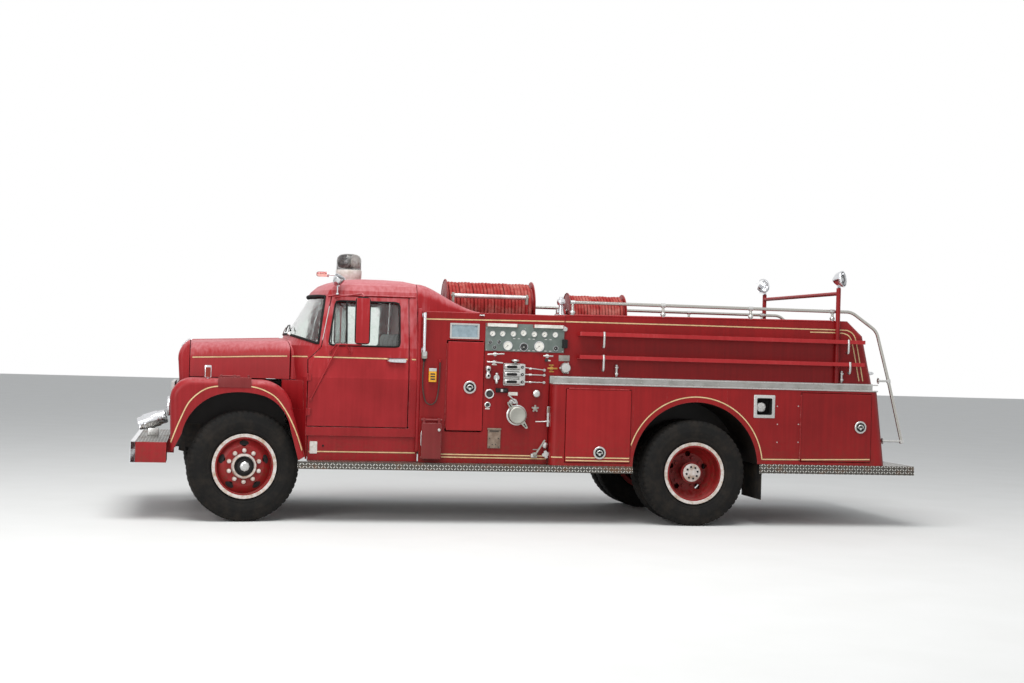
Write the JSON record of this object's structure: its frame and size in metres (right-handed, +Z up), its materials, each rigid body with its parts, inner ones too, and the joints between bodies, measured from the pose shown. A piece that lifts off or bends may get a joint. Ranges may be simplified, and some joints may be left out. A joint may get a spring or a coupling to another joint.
{
  "type": "pumper fire engine",
  "caption": "Conventional-cab pumper fire engine with midship pump, hose reels, open hose bed, side lockers, steered front wheels and opening doors.",
  "frame": {"origin": "ground level at the middle of the overall length and width", "axes": "+X towards the tail (nose at -X), +Z up, -Y the vehicle's left side"},
  "size_m": [7.516, 2.492, 2.5425],
  "materials": {
    "red_paint": "faded gloss",
    "black_paint": "satin",
    "bright_trim": "polished",
    "tread_plate": "diamond plate",
    "panel_metal": "grey-green enamel",
    "cast_parts": "oily",
    "tyre_rubber": "weathered",
    "cord_rubber": "matt",
    "clear_glass": "clear",
    "seat_vinyl": "worn",
    "dash_plastic": "matt"
  },
  "bodies": {
    "root": {"axles": "black_paint", "beacon_dome": "clear_glass", "body_trim": "tread_plate", "bumper_platform": "red_paint", "cab_glass": "clear_glass", "cab_shell": "red_paint", "chassis_frame": "black_paint", "front_bumper": "bright_trim", "front_fenders": "red_paint", "fuel_filler": "tread_plate", "gauge_panel": "panel_metal", "grille": "bright_trim", "handrails": "bright_trim", "handset_cord": "cord_rubber", "hose_body": "red_paint", "kick_panels": "red_paint", "ladder_shelves": "red_paint", "lamps": "bright_trim", "leaf_springs": "black_paint", "light_pylons": "red_paint", "mud_flaps": "cord_rubber", "nose_panel": "red_paint", "powertrain": "cast_parts", "pump_controls": "bright_trim", "pump_house": "red_paint", "rear_panel": "red_paint", "reel_stands": "red_paint", "roof_fairing": "red_paint", "seat": "seat_vinyl", "side_box_left": "red_paint", "side_box_right": "red_paint", "side_fittings": "red_paint", "steering_wheel": "dash_plastic", "suction_intakes": "bright_trim", "tread_boards": "tread_plate"},
    "knuckle_left": {"knuckle_left": "black_paint"},
    "knuckle_right": {"knuckle_right": "black_paint"},
    "tie_rod": {"tie_rod": "black_paint"},
    "front_wheel_left": {"wheel_front_left": "red_paint", "tyre_front_left": "tyre_rubber"},
    "front_wheel_right": {"wheel_front_right": "red_paint", "tyre_front_right": "tyre_rubber"},
    "rear_wheels_left": {"wheel_rear_left": "red_paint", "tyre_rear_left": "tyre_rubber"},
    "rear_wheels_right": {"wheel_rear_right": "red_paint", "tyre_rear_right": "tyre_rubber"},
    "cab_door_left": {"door_left": "red_paint", "door_glass_left": "clear_glass"},
    "cab_door_right": {"door_right": "red_paint", "door_glass_right": "clear_glass"},
    "hood_half_left": {"hood_left": "red_paint"},
    "hood_half_right": {"hood_right": "red_paint"},
    "tall_hatch_left": {"tall_door_left": "red_paint"},
    "tall_hatch_right": {"tall_door_right": "red_paint"},
    "mid_hatch_left": {"mid_door_left": "red_paint"},
    "mid_hatch_right": {"mid_door_right": "red_paint"},
    "rear_hatch_left": {"rear_door_left": "red_paint"},
    "rear_hatch_right": {"rear_door_right": "red_paint"},
    "front_reel": {"reel_front": "red_paint"},
    "rear_reel": {"reel_rear": "red_paint"}
  },
  "joints": [
    {"name": "steer_left", "type": "hinge", "parent": "root", "child": "knuckle_left", "pos_m": [-2.7665, -0.83, 0.505], "axis": [0, 0, 1], "range_deg": [-41, 25]},
    {"name": "steer_right", "type": "hinge", "parent": "root", "child": "knuckle_right", "pos_m": [-2.7665, 0.83, 0.505], "axis": [0, 0, 1], "range_deg": [-41, 25]},
    {"name": "tie_rod_ball", "type": "hinge", "parent": "knuckle_left", "child": "tie_rod", "pos_m": [-2.57835, -0.80356, 0.39], "axis": [0, 0, 1], "range_deg": [-25, 41]},
    {"name": "front_wheel_left_spin", "type": "hinge", "parent": "knuckle_left", "child": "front_wheel_left", "pos_m": [-2.74284, -0.99835, 0.505], "axis": [0.1392, -0.9903, 0], "continuous": true},
    {"name": "front_wheel_right_spin", "type": "hinge", "parent": "knuckle_right", "child": "front_wheel_right", "pos_m": [-2.79016, 0.99835, 0.505], "axis": [0.1392, -0.9903, 0], "continuous": true},
    {"name": "rear_wheels_left_spin", "type": "hinge", "parent": "root", "child": "rear_wheels_left", "pos_m": [1.5265, -1.04, 0.505], "axis": [0, -1, 0], "continuous": true},
    {"name": "rear_wheels_right_spin", "type": "hinge", "parent": "root", "child": "rear_wheels_right", "pos_m": [1.5265, 1.04, 0.505], "axis": [0, -1, 0], "continuous": true},
    {"name": "cab_door_left_hinge", "type": "hinge", "parent": "root", "child": "cab_door_left", "pos_m": [-2.1685, -0.9955, 1.45], "axis": [0, 0, -1], "range_deg": [0, 65]},
    {"name": "hood_left_hinge", "type": "hinge", "parent": "root", "child": "hood_half_left", "pos_m": [-2.7865, 0, 1.67], "axis": [-0.9991, 0, -0.0435], "range_deg": [0, 72]},
    {"name": "tall_hatch_left_hinge", "type": "hinge", "parent": "root", "child": "tall_hatch_left", "pos_m": [-0.8825, -1.05, 1.28], "axis": [0, 0, -1], "range_deg": [0, 110]},
    {"name": "mid_hatch_left_hinge", "type": "hinge", "parent": "root", "child": "mid_hatch_left", "pos_m": [0.5585, -1.178, 1.287], "axis": [-1, 0, 0], "range_deg": [0, 100]},
    {"name": "rear_hatch_left_hinge", "type": "hinge", "parent": "root", "child": "rear_hatch_left", "pos_m": [2.5775, -1.178, 0.97], "axis": [0, 0, -1], "range_deg": [0, 110]},
    {"name": "cab_door_right_hinge", "type": "hinge", "parent": "root", "child": "cab_door_right", "pos_m": [-2.1685, 0.9955, 1.45], "axis": [0, 0, 1], "range_deg": [0, 65]},
    {"name": "hood_right_hinge", "type": "hinge", "parent": "root", "child": "hood_half_right", "pos_m": [-2.7865, 0, 1.67], "axis": [0.9991, 0, 0.0435], "range_deg": [0, 72]},
    {"name": "tall_hatch_right_hinge", "type": "hinge", "parent": "root", "child": "tall_hatch_right", "pos_m": [-0.8825, 1.05, 1.28], "axis": [0, 0, 1], "range_deg": [0, 110]},
    {"name": "mid_hatch_right_hinge", "type": "hinge", "parent": "root", "child": "mid_hatch_right", "pos_m": [0.5585, 1.178, 1.287], "axis": [1, 0, 0], "range_deg": [0, 100]},
    {"name": "rear_hatch_right_hinge", "type": "hinge", "parent": "root", "child": "rear_hatch_right", "pos_m": [2.5775, 1.178, 0.97], "axis": [0, 0, 1], "range_deg": [0, 110]},
    {"name": "front_reel_turn", "type": "hinge", "parent": "root", "child": "front_reel", "pos_m": [-0.3315, 0, 2.075], "axis": [1, 0, 0], "continuous": true},
    {"name": "rear_reel_turn", "type": "hinge", "parent": "root", "child": "rear_reel", "pos_m": [0.7715, 0, 2.01], "axis": [1, 0, 0], "continuous": true}
  ],
  "couplings": [
    {"joint": "steer_right", "follows": "steer_left", "ratio": 1},
    {"joint": "tie_rod_ball", "follows": "steer_left", "ratio": -1}
  ]
}
